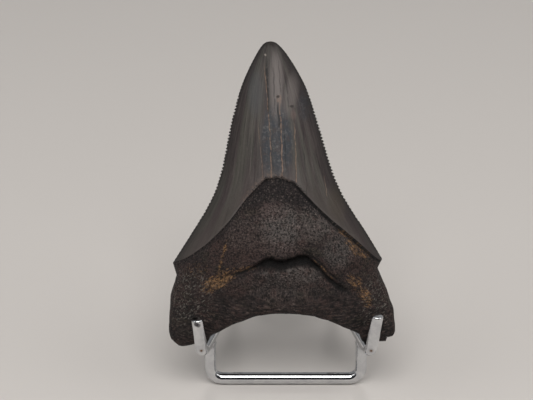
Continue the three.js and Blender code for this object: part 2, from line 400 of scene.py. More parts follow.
def tooth_relief(grid, is_root):
    """How far each point stands out of, or sinks into, the plain skin."""
    place, level, enamel = grid["points"], grid["level"], grid["enamel"]
    x, on_face = place[..., 0], grid["side"] < 0
    inner = 1 - hump(grid["edge"], EDGE_REACH)
    crease = above_crease(x, level)
    rough = layered(place, *ROOT_SWELLS) + layered(place, *ROOT_GRAIN)
    undercut_left, undercut_added = UNDERCUT
    undercut = on_face * hump(np.minimum(enamel, 0), UNDERCUT_REACH)
    undercut = undercut * (undercut_left + undercut_added * smooth(x, *UNDERCUT_GROWS))
    root = rough * (EDGE_ROUGHNESS + (1 - EDGE_ROUGHNESS) * inner)
    root -= inner * (ENAMEL_THICKNESS * smooth(level, *ROOT_SINKS) + undercut)
    swell_height, swell_below, swell_reach = FOLD_SWELL
    root -= on_face * (fold(x, crease) - swell_height * hump(crease + swell_below, swell_reach))
    root -= pits(x, level, grid["side"])
    streaks = np.stack([grid["across"] * STREAKS_ACROSS, level / STREAK_LENGTH, grid["side"]], axis=-1)
    crown = layered(streaks, *CROWN_STREAKS) + layered(place, *CROWN_SWELLS)
    rounding, rounding_reach = ENAMEL_ROUNDING
    crown -= rounding * (1 - smooth(enamel, 0, rounding_reach))
    return np.where(is_root, root, crown * inner)


def tooth_grid():
    """Face columns from left to right, then back columns from right to left, as one closed loop."""
    face_across = -np.cos(np.linspace(0, math.pi, FACE_COLUMNS + 1))
    back_across = np.cos(np.linspace(0, math.pi, BACK_COLUMNS + 1))[1:-1]
    face = skin(face_across, tooth_rows(face_across, FACE_BOUNDARY), -1)
    back = skin(back_across, tooth_rows(back_across, BACK_BOUNDARY), 1)
    grid = {name: np.concatenate([face[name], back[name]], axis=1) for name in face}
    cut_serrations(grid)
    return grid


def to_row_frame(points):
    """From the tooth's own upright frame to the model's, in metres."""
    x, y, z = np.moveaxis(points, -1, 0)
    leaned = np.stack([
        x,
        y * math.cos(TOOTH_LEAN) + z * math.sin(TOOTH_LEAN),
        z * math.cos(TOOTH_LEAN) - y * math.sin(TOOTH_LEAN),
    ], axis=-1)
    return (leaned + np.array(TOOTH_SEAT)) * MM + np.array(STAND_ORIGIN)


def grid_faces(rows, columns, last_is_point):
    """Quads of a grid whose columns close on themselves, and triangles up to a last single point."""
    column = np.arange(columns)
    beside = (column + 1) % columns
    body_rows = rows - 1 if last_is_point else rows
    start = np.arange(body_rows - 1)[:, None] * columns
    above = start + columns
    quads = np.stack([start + column, start + beside, above + beside, above + column], axis=-1)
    faces = quads.reshape(-1, 4).tolist()
    if last_is_point:
        last_row, point = (body_rows - 1) * columns, body_rows * columns
        faces += [[last_row + i, last_row + j, point] for i, j in zip(column, beside)]
    return faces


def lower_edge_faces():
    """Closes the underside by joining the lowest row's face columns to its back columns. At each
    end of the row they share a column, which is kept once."""
    columns = FACE_COLUMNS + BACK_COLUMNS
    per_back = FACE_COLUMNS // BACK_COLUMNS
    faces = []
    for k in range(BACK_COLUMNS):
        fan = [k * per_back + i for i in range(per_back + 1)]
        back_far, back_near = columns - k - 1, (columns - k) % columns
        faces.append(list(dict.fromkeys(fan + [back_far, back_near]))[::-1])
    return faces


def add_attribute(mesh, name, values):
    kind = "FLOAT_VECTOR" if values.ndim == 2 else "FLOAT"
    attribute = mesh.attributes.new(name, kind, "POINT")
    field = "vector" if values.ndim == 2 else "value"
    attribute.data.foreach_set(field, values.astype(np.float32).ravel())


def make_tooth(root, enamel):
    grid = tooth_grid()
    rows, columns = grid["level"].shape
    is_root = (np.arange(rows) <= ROOT_ROWS)[:, None]
    relief = tooth_relief(grid, is_root)
    normals = outward(grid["points"])
    points = grid["points"] + normals * relief[..., None]
    kept = (rows - 1) * columns + 1
    flat = to_row_frame(points).reshape(-1, 3)[:kept]
    faces = grid_faces(rows, columns, True) + lower_edge_faces()
    mesh = bpy.data.meshes.new("tooth_skin")
    mesh.from_pydata(flat.tolist(), [], faces)
    x, depth = grid["points"][..., 0], grid["points"][..., 1]
    tooth_mm = np.stack([x, depth, grid["level"]], axis=-1)
    add_attribute(mesh, "tooth_mm", tooth_mm.reshape(-1, 3)[:kept])
    # Painted shade for the fold across the root's face, kept as the attribute fold and darkened into the
    # root's colour.
    shade = fold_painted_shade(x, above_crease(x, grid["level"])) * (grid["side"] < 0)
    facts = {"across": grid["across"], "enamel_mm": grid["enamel"], "edge_mm": grid["edge"], "fold": shade}
    for name, values in facts.items():
        add_attribute(mesh, name, values.ravel()[:kept])
    mesh.materials.append(root)
    mesh.materials.append(enamel)
    crown_from, crown_to = (ROOT_ROWS + 1) * columns, (rows - 1) * columns
    index = np.zeros(len(faces), np.int32)
    index[crown_from:crown_to] = 1
    mesh.polygons.foreach_set("material_index", index)
    mesh.polygons.foreach_set("use_smooth", np.ones(len(faces), bool))
    mesh.update()
    piece = bpy.data.objects.new("fossil_tooth", mesh)
    scene.collection.objects.link(piece)
    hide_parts("tooth")
    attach(piece, "root")


# ---- the stand's rods
def bent_line(corners, bends):
    """Points along a line of straight runs with a round bend at each inner corner."""
    corners = [Vector(corner) for corner in corners]
    headings = [(b - a).normalized() for a, b in zip(corners, corners[1:])]
    points = [corners[0]]
    for i, bend in enumerate(bends):
        before, after = headings[i], headings[i + 1]
        turn = before.angle(after)
        start = corners[i + 1] - before * bend * math.tan(turn / 2)
        inward = (after - before * math.cos(turn)).normalized()
        steps = max(4, round(BEND_STEPS * turn / (math.pi / 2)))
        for k in range(steps + 1):
            angle = turn * k / steps
            points.append(start + before * bend * math.sin(angle) + inward * bend * (1 - math.cos(angle)))
    return points + [corners[-1]]


def end_rings(end, inner, kind):
    """The (point, radius) rings of a rod's end, from the end inwards: a low dome or a weld's flare."""
    inwards = (inner - end).normalized()
    rings = []
    if kind == "dome":
        for k in reversed(range(END_RINGS)):
            angle = (k + 0.5) / END_RINGS * math.pi / 2
            rise, width = math.sin(angle) ** TIP_SQUARENESS, math.cos(angle) ** TIP_SQUARENESS
            rings.append((end + inwards * TIP_DOME * (1 - rise), ROD * width))
        return rings
    for k in range(END_RINGS + 1):
        depth = k / END_RINGS * WELD_LENGTH
        fillet = WELD_FLARE * hump(depth - ROD, WELD_WIDTH)
        rings.append((end + inwards * depth, ROD * WELD_FIT + fillet))
    return rings


def rod_piece(name, corners, bends, end_kind, material):
    """A smooth rod along the line. Both its ends are of the same kind: a dome or a weld."""
    line = bent_line(corners, bends)
    first = end_rings(line[0], line[1], end_kind)
    last = end_rings(line[-1], line[-2], end_kind)
    rings = first + [(point, ROD) for point in line[1:-1]] + last[::-1]
    places = [point for point, _ in rings]
    side = None
    vertices = []
    for i, (point, radius) in enumerate(rings):
        ahead = (places[min(i + 1, len(places) - 1)] - places[max(i - 1, 0)]).normalized()
        side = ahead.orthogonal() if side is None else side - ahead * side.dot(ahead)
        side.normalize()
        over = ahead.cross(side)
        for k in range(ROD_SIDES):
            angle = 2 * math.pi * k / ROD_SIDES
            spot = point + (side * math.cos(angle) + over * math.sin(angle)) * radius
            vertices.append(spot * MM + STAND_ORIGIN)
    faces = grid_faces(len(rings), ROD_SIDES, False)
    faces.append(list(range(ROD_SIDES))[::-1])
    faces.append([(len(rings) - 1) * ROD_SIDES + k for k in range(ROD_SIDES)])
    mesh = bpy.data.meshes.new(name)
    mesh.from_pydata(vertices, [], faces)
    mesh.polygons.foreach_set("use_smooth", np.ones(len(faces), bool))
    mesh.materials.append(material)
    mesh.update()
    piece = bpy.data.objects.new(name + "_polished", mesh)
    scene.collection.objects.link(piece)
    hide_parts(name)
    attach(piece, "root")


def backrest_point(side, share):
    """A point on the backrest, the share of the way up from the shelf arm to the arch."""
    start, end = Vector((*ARM_END, ARM_HEIGHT)), Vector((ARCH_HALF, *ARCH_TOP))
    point = start.lerp(end, share)
    return Vector((side * point.x, point.y, point.z))


def make_stand(material):
    def half(side):
        return [
            (side * (ELBOW[0] + PRONG_LEANS[side]), ELBOW[1], PRONG_TOPS[side]),
            (side * ELBOW[0], ELBOW[1], ARM_HEIGHT),
            (side * ARM_END[0], ARM_END[1], ARM_HEIGHT),
            (side * ARCH_HALF, *ARCH_TOP),
        ]

    bends = [ELBOW_BEND, ARM_END_BEND, ARCH_BEND]
    rod_piece("cradle_rod", half(-1) + half(1)[::-1], bends + bends[::-1], "dome", material)
    foot = [
        (-FOOT_HALF, 0, ARM_HEIGHT), (-FOOT_HALF, 0, ROD), (FOOT_HALF, 0, ROD), (FOOT_HALF, 0, ARM_HEIGHT),
    ]
    rod_piece("front_foot", foot, [FOOT_BEND, FOOT_BEND], "weld", material)
    left, right = backrest_point(-1, LEG_TOP_SHARE), backrest_point(1, LEG_TOP_SHARE)
    leg = [left, (-LEG_HALF, LEG_REACH, ROD), (LEG_HALF, LEG_REACH, ROD), right]
    rod_piece("rear_leg", leg, [LEG_BEND, LEG_BEND], "weld", material)


# ---- shading
class Shading:
    """A node tree whose nodes are made by short calls, each giving the socket it ends in."""

    def __init__(self, tree):
        self.tree = tree

    def give(self, socket, value):
        if isinstance(value, bpy.types.NodeSocket):
            self.tree.links.new(value, socket)
        else:
            socket.default_value = value

    def add(self, kind, inputs, output=0, **settings):
        node = self.tree.nodes.new("ShaderNode" + kind)
        for name, value in settings.items():
            setattr(node, name, value)
        for key, value in inputs.items():
            self.give(node.inputs[key], value)
        return node.outputs[output]

    def attribute(self, name, output="Fac"):
        return self.add("Attribute", {}, output, attribute_name=name)

    def math(self, operation, first, second=0.0, third=0.0):
        return self.add("Math", {0: first, 1: second, 2: third}, operation=operation)

    def times(self, first, *others):
        for other in others:
            first = self.math("MULTIPLY", first, other)
        return first

    def plus(self, first, second):
        return self.math("ADD", first, second)

    def less(self, first, second):
        return self.math("SUBTRACT", first, second)

    def most(self, first, *others):
        for other in others:
            first = self.math("MAXIMUM", first, other)
        return first

    def linear(self, value, factor, offset):
        return self.math("MULTIPLY_ADD", value, factor, offset)

    def blend(self, share, first, second):
        """The first number where share is 0, and the second where it is 1."""
        return self.linear(share, self.less(second, first), first)

    def fade(self, value, start, end):
        """0 where the value is at start or past it, 1 where it is at end, smooth between."""
        inputs = {"Value": value, "From Min": start, "From Max": end}
        return self.add("MapRange", inputs, interpolation_type="SMOOTHSTEP", clamp=True)

    def scaled(self, vector, factors):
        return self.add("VectorMath", {0: vector, 1: factors}, operation="MULTIPLY")

    def turned(self, vector, degrees):
        """The vector turned about Y, the tooth's own depth."""
        inputs = {"Vector": vector, "Angle": math.radians(degrees)}
        return self.add("VectorRotate", inputs, rotation_type="Y_AXIS")

    def noise(self, vector, scale, detail=2.0, roughness=0.5):
        inputs = {"Vector": vector, "Scale": scale, "Detail": detail, "Roughness": roughness}
        return self.add("TexNoise", inputs)

    def grains(self, vector, scale, start, end, detail=2.0, roughness=0.5):
        """Noise with its contrast raised: 0 where it is at start, 1 where it is at end."""
        return self.fade(self.noise(vector, scale, detail, roughness), start, end)

    def cells(self, vector, scale):
        """Distance to the nearest of many scattered points."""
        return self.add("TexVoronoi", {"Vector": vector, "Scale": scale}, "Distance")

    def mix(self, share, first, second):
        inputs = {0: share, 6: self.colour(first), 7: self.colour(second)}
        return self.add("Mix", inputs, 2, data_type="RGBA")

    @staticmethod
    def colour(value):
        return value if isinstance(value, bpy.types.NodeSocket) else (*value, 1)

    def cover(self, colour, other, strength, *masks):
        """The colour with the other one laid over it, at this strength where all the masks are 1."""
        return self.mix(self.times(*masks, strength), colour, other)

    def darken(self, colour, strength, *masks):
        """The colour times 1 - strength where all the masks are 1, and unchanged where one is 0."""
        keep = self.linear(self.times(*masks), -strength, 1.0)
        return self.add("VectorMath", {0: colour, "Scale": keep}, operation="SCALE")

    def bump(self, height, distance, strength, normal=None):
        inputs = {"Height": height, "Distance": distance, "Strength": strength}
        if normal is not None:
            inputs["Normal"] = normal
        return self.add("Bump", inputs)


class ToothShading(Shading):
    """Shading that knows its place on the tooth, in millimetres of the tooth's own frame: u across
    and v up. enamel is the height above the enamel's lower edge."""

    def __init__(self, tree):
        super().__init__(tree)
        self.place = self.attribute("tooth_mm", "Vector")
        separate = tree.nodes.new("ShaderNodeSeparateXYZ")
        self.give(separate.inputs[0], self.place)
        self.u, depth, self.v = separate.outputs
        self.enamel = self.attribute("enamel_mm")
        self.on_face = self.fade(depth, 0.5, -0.5)
        self.behind = self.less(1.0, self.on_face)

    def spot(self, centre, radii, softness=1.0, slant=0):
        """1 in the middle of an oval, fading to 0 at its rim. slant turns it, in degrees."""
        c, n = math.cos(math.radians(slant)), math.sin(math.radians(slant))
        offset_u, offset_v = self.plus(self.u, -centre[0]), self.plus(self.v, -centre[1])
        along = self.plus(self.times(offset_u, c), self.times(offset_v, n))
        athwart = self.plus(self.times(offset_v, c), self.times(offset_u, -n))
        away_u = self.times(along, 1 / radii[0])
        away_v = self.times(athwart, 1 / radii[1])
        away = self.plus(self.times(away_u, away_u), self.times(away_v, away_v))
        return self.fade(away, 1.0, 1.0 - softness)

    def spots(self, rows, softness=1.0):
        """Several ovals. Each row is a centre, radii, a strength and a slant."""
        return self.most(*[
            self.times(self.spot(centre, radii, softness, slant), strength)
            for centre, radii, strength, slant in rows
        ])

    def line(self, low, high, width, waver):
        """A thin line up the enamel between two places, wavering a little."""
        slope = (high[0] - low[0]) / (high[1] - low[1])
        middle = self.linear(self.plus(self.v, -low[1]), slope, low[0])
        away = self.math("ABSOLUTE", self.plus(self.less(self.u, middle), waver))
        ends = self.times(self.fade(self.v, high[1], high[1] - 5), self.fade(self.v, low[1] - 1, low[1]))
        return self.times(self.fade(away, width, width * 0.25), ends)

    def lines(self, rows, waver):
        """Several lines. Each row is a lower end, an upper end, half a width and a strength."""
        return self.most(*[
            self.times(self.line(low, high, width, waver), strength)
            for low, high, width, strength in rows
        ])


def material_with(name, kind=Shading):
    material = bpy.data.materials.new(name)
    material.use_nodes = True
    return material, kind(material.node_tree), material.node_tree.nodes["Principled BSDF"]


def dress(s, surface, colour, roughness, normal):
    for name, socket in (("Base Color", colour), ("Roughness", roughness), ("Normal", normal)):
        s.give(surface.inputs[name], socket)


# ---- the root's material
ROOT_BLACK, ROOT_BROWN = (0.0225, 0.0150, 0.0145), (0.044, 0.0260, 0.0230)
OLIVE, RED_BROWN = (0.034, 0.029, 0.019), (0.068, 0.038, 0.033)
SWELLING_GREY, ROSE = (0.108, 0.097, 0.091), (0.098, 0.066, 0.062)
BAND_BLACK, TAN = (0.0150, 0.0118, 0.0128), (0.285, 0.155, 0.066)
FIBRE_BROWN, GRAIN_PALE = (0.088, 0.064, 0.050), (0.266, 0.212, 0.190)
SCUFF_GREY, FLECK_GREY = (0.200, 0.172, 0.160), (0.190, 0.174, 0.152)

# Each oval below is its centre across and up, its radii, its strength and its slant in degrees.
SWELLING = [
    ((-0.5, 31.5), (7.5, 8), 1.0, 0),
    ((9.5, 33), (8, 7), 0.7, 0),
    ((14.5, 25.5), (5, 6), 0.65, 0),
    ((-9, 30), (8, 6), 0.35, 0),
    ((4, 19.5), (9, 3), 0.5, 0),
    ((1, 16), (14, 5), 0.25, 0),
]
ROSY_GROUND = [((-3, 35.5), (5, 3.6), 1.0, 0), ((-1, 26), (9, 3), 0.8, 0)]
RED_GROUND = [((-10, 27), (9, 8), 0.9, 0)]
TAN_PATCHES = [
    ((-16.4, 17.6), (7.4, 2.9), 1.0, 31),
    ((-9.5, 20.6), (4.2, 1.1), 0.85, 12),
    ((16.6, 30.2), (3.6, 1.5), 1.0, -38),
    ((19.6, 26.6), (6.4, 3.0), 0.85, -40),
    ((18.8, 17.2), (3.6, 2.4), 0.85, -40),
    ((21.6, 13.4), (4.2, 2.2), 0.9, -60),
    ((10.8, 20.4), (5.2, 0.7), 0.7, -43),
    ((-22, 20), (5, 4), 0.45, 0),
]
TAN_BEHIND = [((-17, 16), (7, 3), 1.0, 25), ((12, 19), (6, 2.4), 0.8, -20), ((23, 12), (4, 6), 0.8, 0)]
FLECKED_LOBES = [((-24, 13), (7.5, 10), 1.0, 0), ((24.5, 12), (5.5, 9), 0.9, 0)]
# Painted contact shadow on the root's lower edge where it rests on the shelf arms.
ARM_CONTACT_SHADOW = [((-20.2, 1.2), (2.2, 3.0), 1.0, 0), ((21.8, 1.2), (2.2, 3.0), 1.0, 0)]


def root_ground(s, swelling, band):
    """The root's broad colours: paler and greyer on the swelling below the enamel's peak, and almost
    black in the band under the enamel."""
    colour = s.mix(s.grains(s.place, 0.16, 0.35, 0.65, 3.0), ROOT_BLACK, ROOT_BROWN)
    colour = s.cover(colour, OLIVE, 0.5, s.grains(s.scaled(s.place, (0.6, 1, 1.6)), 0.28, 0.52, 0.72))
    colour = s.cover(colour, SWELLING_GREY, 0.85, swelling)
    colour = s.cover(colour, ROSE, 0.55, s.on_face, s.spots(ROSY_GROUND))
    red = s.most(s.grains(s.place, 0.42, 0.5, 0.66, 3.0, 0.6), s.times(s.on_face, s.spots(RED_GROUND)))
    colour = s.cover(colour, RED_BROWN, 0.5, red)
    return s.cover(colour, BAND_BLACK, 0.85, band)


def tan_share(s):
    """1 where tan mineral is left in the hollows, broken up by noise that slants away from the middle."""
    leftwards = s.noise(s.scaled(s.turned(s.place, 32), (0.45, 1, 1.5)), 1.25, 5.0, 0.8)
    rightwards = s.noise(s.scaled(s.turned(s.place, -42), (0.5, 1, 1.4)), 1.25, 5.0, 0.8)
    dust = s.times(s.spots(TAN_PATCHES), 0.95)
    slanting = s.blend(s.fade(s.u, 2, 6), leftwards, rightwards)
    patches = s.fade(s.plus(slanting, s.times(dust, 0.22)), 0.595, 0.79)
    patches = s.times(patches, s.fade(dust, 0.0, 0.3))

    from_streak = s.math("ABSOLUTE", s.less(s.u, s.linear(s.v, 0.26, -21.6)))
    waver = s.times(s.plus(s.noise(s.place, 0.5), -0.5), 1.6)
    streak = s.times(s.fade(s.plus(from_streak, waver), 0.6, 0.0), s.spot((-15.4, 23.8), (9, 5.0), 0.6))
    streak = s.times(streak, s.grains(s.place, 1.1, 0.36, 0.6, 4.0, 0.7))

    dust_behind = s.spots(TAN_BEHIND)
    patches_behind = s.fade(s.plus(leftwards, s.times(dust_behind, 0.2)), 0.60, 0.80)
    patches_behind = s.times(patches_behind, s.fade(dust_behind, 0.0, 0.3))
    return s.most(s.times(s.on_face, s.most(patches, streak)), s.times(s.behind, patches_behind))


def root_grain(s, colour, swelling, band):
    """Fine pale and dark grains all over, which lie along the root low down on the face."""
    low_down = s.times(s.on_face, s.fade(s.v, 16, 11))
    fibres = s.noise(s.scaled(s.place, (0.3, 1, 1.5)), 1.7, 4.0, 0.7)
    colour = s.darken(colour, 0.6, low_down, s.fade(fibres, 0.55, 0.40))
    colour = s.cover(colour, FIBRE_BROWN, 0.5, low_down, s.fade(fibres, 0.54, 0.72))
    lying = s.scaled(s.place, (0.42, 1, 1.35))
    pale = s.blend(low_down, s.noise(s.place, 2.5, 3.0, 0.65), s.noise(lying, 2.2, 3.0, 0.65))
    amount = s.plus(s.linear(swelling, 0.68, 0.23), s.times(band, 0.25))
    colour = s.cover(colour, GRAIN_PALE, 1.0, s.fade(pale, 0.51, 0.70), amount)
    dark = s.blend(low_down, s.noise(s.place, 2.0, 3.0, 0.68), s.noise(lying, 1.7, 3.0, 0.68))
    return s.darken(colour, 0.82, s.fade(dark, 0.44, 0.60))


def root_marks(s, colour, pores):
    """Scuffs below the fold, flecks on the lobes, pores, and painted shade: a painted shadow close under
    the enamel's edge, painted shade in the fold and a painted contact shadow at the shelf arms."""
    scuffs = s.grains(s.scaled(s.place, (0.6, 1, 1.2)), 1.0, 0.52, 0.64, 4.0, 0.75)
    colour = s.cover(colour, SCUFF_GREY, 0.6, s.on_face, s.spot((2.5, 19.2), (10, 2.8)), scuffs)
    slanted = s.scaled(s.turned(s.place, 38), (0.5, 1, 1.25))
    flecks = s.grains(slanted, 2.2, 0.54, 0.66, 3.0, 0.65)
    colour = s.cover(colour, FLECK_GREY, 0.7, s.on_face, s.spots(FLECKED_LOBES, 0.9), flecks)
    colour = s.darken(colour, 0.7, pores)
    # Painted shadow just under the enamel's overhanging lower edge, heavier on the right.
    more_on_right = s.linear(s.fade(s.u, -4, 5), 0.6, 0.25)
    colour = s.darken(colour, 0.9, s.on_face, s.fade(s.enamel, -1.5, -0.1), more_on_right)
    # Painted shade in the fold, broken up by noise.
    colour = s.darken(colour, 0.94, s.attribute("fold"), s.grains(s.place, 1.1, 0.12, 0.42, 4.0, 0.7))
    # Painted contact shadow where the root rests on the shelf arms.
    return s.darken(colour, 0.85, s.spots(ARM_CONTACT_SHADOW, 0.7))


def root_material():
    material, s, surface = material_with("fossil_root", ToothShading)
    swelling = s.times(s.on_face, s.spots(SWELLING))
    # The dark band is thick below the enamel's peak and thin towards the shoulders.
    band_edge = s.linear(s.spot((-0.5, 43), (13, 16)), -5.2, -0.9)
    band = s.times(s.on_face, s.fade(s.less(s.enamel, band_edge), -1.8, 1.6))
    pores = s.times(s.fade(s.cells(s.place, 1.3), 0.34, 0.14), s.grains(s.place, 0.5, 0.4, 0.6))
    colour = root_ground(s, swelling, band)
    colour = s.cover(colour, TAN, 0.9, tan_share(s))
    colour = root_grain(s, colour, swelling, band)
    colour = root_marks(s, colour, pores)

    surface.inputs["Specular IOR Level"].default_value = 0.3
    roughness = s.linear(s.noise(s.place, 1.2), 0.3, 0.55)
    coarse = s.bump(s.noise(s.place, 0.7, 4.0, 0.6), 1.0 * MM, 0.8)
    fine = s.plus(s.noise(s.place, 2.2, 4.0, 0.7), s.times(pores, -0.5))
    dress(s, surface, colour, roughness, s.bump(fine, 0.5 * MM, 0.9, coarse))
    return material


# ---- the enamel's material
ENAMEL_BLACK, ENAMEL_OLIVE = (0.034, 0.0240, 0.0240), (0.053, 0.0490, 0.0405)
STREAK_GREY, RIDGE_HIGHLIGHT_GREY = (0.098, 0.083, 0.075), (0.185, 0.162, 0.152)
OCHRE, LOW_BROWN = (0.058, 0.046, 0.030), (0.056, 0.0415, 0.0385)
STEEL, BLUE_BLACK, CLOUD_GREY = (0.061, 0.064, 0.069), (0.021, 0.025, 0.032), (0.120, 0.116, 0.114)
MOTTLE_GREY = (0.15, 0.135, 0.125)
BACK_BROWN, BACK_WORN = (0.066, 0.054, 0.049), (0.105, 0.092, 0.084)
CRACK_TAN, RIM_TAN, CHIP_TAN = (0.240, 0.160, 0.118), (0.140, 0.094, 0.070), (0.200, 0.135, 0.105)
PINK, FLECK_WHITE = (0.140, 0.098, 0.086), (0.26, 0.23, 0.20)
GRIT_BLACK, GRIT_GREY = (0.014, 0.011, 0.0115), (0.150, 0.125, 0.110)

# Painted highlight along the crown's central ridge near the tip, and a weaker one to the right of it.
RIDGE_HIGHLIGHT = [((-1.5, 69), (2.2, 12), 1.0, 0), ((2.2, 66), (2.4, 8), 0.6, -12)]
CHIPS = [((2.5, 62.8), (0.7, 0.4), 0.75, 0), ((-1.1, 65.3), (0.6, 0.4), 0.85, 25)]
# Each line below is its lower end, its upper end, half its width and its strength.
CRACKS = [
    ((-2.7, 44.5), (-3.2, 57.5), 0.24, 1.0),
    ((-3.2, 56.5), (-4.7, 75), 0.18, 1.0),
    ((0.1, 44.5), (-0.7, 66), 0.26, 1.0),
    ((3.7, 43.5), (3.0, 60), 0.2, 1.0),
    ((-4.9, 44), (-6.5, 60), 0.18, 0.5),
    ((11.5, 40), (10.6, 47), 0.16, 0.6),
]
CRACKS_BEHIND = [
    ((-3.4, 29), (-4.2, 63), 0.22, 1.0),
    ((5.8, 29), (1.5, 55), 0.2, 0.8),
    ((-11.5, 28), (-9.8, 44), 0.18, 0.7),
    ((12.5, 28), (8.6, 42), 0.16, 0.7),
]
DARK_LINES = [
    ((-3.55, 62), (-4.1, 77), 0.5, 1.0),
    ((-0.9, 58), (-1.3, 66.5), 0.4, 1.0),
    ((-1.9, 62), (-2.4, 75), 0.3, 0.6),
    ((0.9, 46), (0.2, 62), 0.22, 0.6),
    ((-2.3, 46), (-2.8, 57), 0.16, 0.7),
    ((6.4, 40), (4.9, 62), 0.16, 0.5),
    ((-0.4, 67), (-1.3, 77), 0.22, 0.5),
    ((1.6, 63), (0.6, 73), 0.25, 0.5),
]


def enamel_ground(s, streaky):
    """The enamel's broad colours: streaks, a bluish patch with clouds in it, a painted highlight along the
    central ridge near the tip, and a browner lower edge."""
    colour = s.mix(s.grains(streaky, 0.6, 0.4, 0.6), ENAMEL_BLACK, ENAMEL_OLIVE)
    colour = s.cover(colour, STREAK_GREY, 0.48, s.grains(streaky, 2.8, 0.42, 0.7, 4.0, 0.65))
    colour = s.darken(colour, 0.42, s.grains(streaky, 3.6, 0.5, 0.68, 4.0, 0.65))
    colour = s.cover(colour, OCHRE, 0.6, s.on_face, s.spot((14.3, 37.5), (3.2, 6.5)))
    colour = s.cover(colour, STEEL, 0.5, s.on_face, s.spot((-7.0, 66.5), (2.6, 8)))
    lower_patch = s.spot((-1.4, 53), (5.0, 12), 0.6)
    upper_patch = s.times(s.spot((5.6, 63), (2.2, 5)), 0.6)
    blue = s.times(s.on_face, s.most(lower_patch, upper_patch))
    colour = s.cover(colour, BLUE_BLACK, 1.0, blue, s.grains(s.place, 0.55, 0.30, 0.56, 4.0, 0.7))
    colour = s.cover(colour, CLOUD_GREY, 0.75, blue, s.grains(s.place, 1.3, 0.52, 0.68, 4.0, 0.75))
    # Painted highlight on the central ridge.
    colour = s.cover(colour, RIDGE_HIGHLIGHT_GREY, 0.66, s.on_face, s.spots(RIDGE_HIGHLIGHT))
    return s.cover(colour, LOW_BROWN, 0.5, s.fade(s.enamel, 10.0, 0.5), s.fade(s.v, 52, 40))


def enamel_behind(s, colour):
    colour = s.cover(colour, BACK_BROWN, 0.35, s.behind)
    worn = s.times(s.spot((-3, 60), (4, 22)), s.grains(s.place, 0.3, 0.4, 0.6, 3.0))
    return s.cover(colour, BACK_WORN, 0.5, s.behind, worn)


def enamel_marks(s, colour, cracks, dark_lines, chips):
    """Dark lines, tan cracks, a stained rim round the enamel's peak, chips, and a few single spots."""
    colour = s.darken(colour, 0.85, dark_lines, s.grains(s.place, 0.9, 0.3, 0.5, 3.0))
    colour = s.cover(colour, CRACK_TAN, 0.8, cracks)
    rim = s.times(s.fade(s.enamel, 2.2, 0.4), s.grains(s.place, 1.1, 0.42, 0.62, 4.0, 0.7))
    colour = s.cover(colour, RIM_TAN, 0.7, s.on_face, rim, s.spot((-4, 42), (9, 14)))
    colour = s.cover(colour, PINK, 0.5, s.on_face, s.spot((2.9, 60.6), (1.0, 1.7)))
    chip_rim = s.times(s.spot((-0.8, 64.7), (0.9, 1.6)), s.grains(s.place, 1.6, 0.40, 0.55, 3.0, 0.7))
    colour = s.cover(colour, CHIP_TAN, 0.8, s.on_face, chip_rim)
    colour = s.darken(colour, 0.85, chips)
    colour = s.cover(colour, FLECK_WHITE, 1.0, s.on_face, s.spot((-4.4, 76.4), (0.34, 0.45), slant=30))
    # The enamel's lower edge looks bitten at its peak, with the root's grit in the bites.
    into_root = s.plus(s.enamel, s.times(s.plus(s.noise(s.place, 1.2, 4.0, 0.75), -0.35), -3.6))
    bitten = s.times(s.spot((-1, 42), (9, 6), 0.5), s.fade(into_root, 0.0, -0.25))
    grit = s.mix(s.grains(s.place, 2.5, 0.52, 0.66, 3.0, 0.65), GRIT_BLACK, GRIT_GREY)
    return s.cover(colour, grit, 0.9, s.on_face, bitten)


def enamel_material():
    material, s, surface = material_with("fossil_enamel", ToothShading)
    # Streaks run up the tooth and draw together towards its tip.
    combined = s.tree.nodes.new("ShaderNodeCombineXYZ")
    s.give(combined.inputs["X"], s.times(s.attribute("across"), 10.0))
    s.give(combined.inputs["Y"], s.times(s.v, 0.035))
    s.give(combined.inputs["Z"], s.times(s.on_face, 4.0))
    streaky = combined.outputs[0]
    mottled = s.grains(s.place, 2.0, 0.5, 0.75, 2.0, 0.7)
    edge = s.attribute("edge_mm")
    waver = s.times(s.plus(s.noise(s.place, 0.35), -0.5), 0.8)
    cracks = s.most(
        s.times(s.on_face, s.lines(CRACKS, waver)),
        s.times(s.behind, s.lines(CRACKS_BEHIND, waver)),
    )
    cracks = s.times(cracks, s.grains(s.place, 1.3, 0.32, 0.56, 4.0, 0.7))
    dark_lines = s.times(s.on_face, s.lines(DARK_LINES, waver))
    chips = s.times(s.on_face, s.spots(CHIPS))

    colour = enamel_ground(s, streaky)
    colour = s.cover(colour, MOTTLE_GREY, 0.14, mottled)
    # Painted shade along both cutting edges, where the crown's sides turn away from the light, with a
    # darker painted rim right at the edge.
    colour = s.darken(colour, 0.46, s.fade(edge, 4.0, 0.3))
    colour = s.darken(colour, 0.5, s.fade(edge, 1.0, 0.3))
    colour = enamel_behind(s, colour)
    colour = enamel_marks(s, colour, cracks, dark_lines, chips)

    surface.inputs["Specular IOR Level"].default_value = 0.34
    roughness = s.plus(s.linear(s.noise(streaky, 1.4, 3.0), 0.25, 0.36), s.times(mottled, 0.12))
    grooves = s.bump(s.noise(streaky, 3.2, 4.0, 0.65), 0.25 * MM, 0.7)
    sunk = s.plus(s.times(cracks, -1.0), s.times(chips, -2.0))
    dress(s, surface, colour, roughness, s.bump(sunk, 0.12 * MM, 0.8, grooves))
    return material


# ---- the stand's material
CHROME_DULL, CHROME_BRIGHT = (0.53, 0.540, 0.560), (0.71, 0.715, 0.725)
MARK_BROWN, WELD_GREY, TIP_PAINTED_REFLECTION = (0.150, 0.080, 0.045), (0.140, 0.135, 0.135), (0.030, 0.026, 0.034)


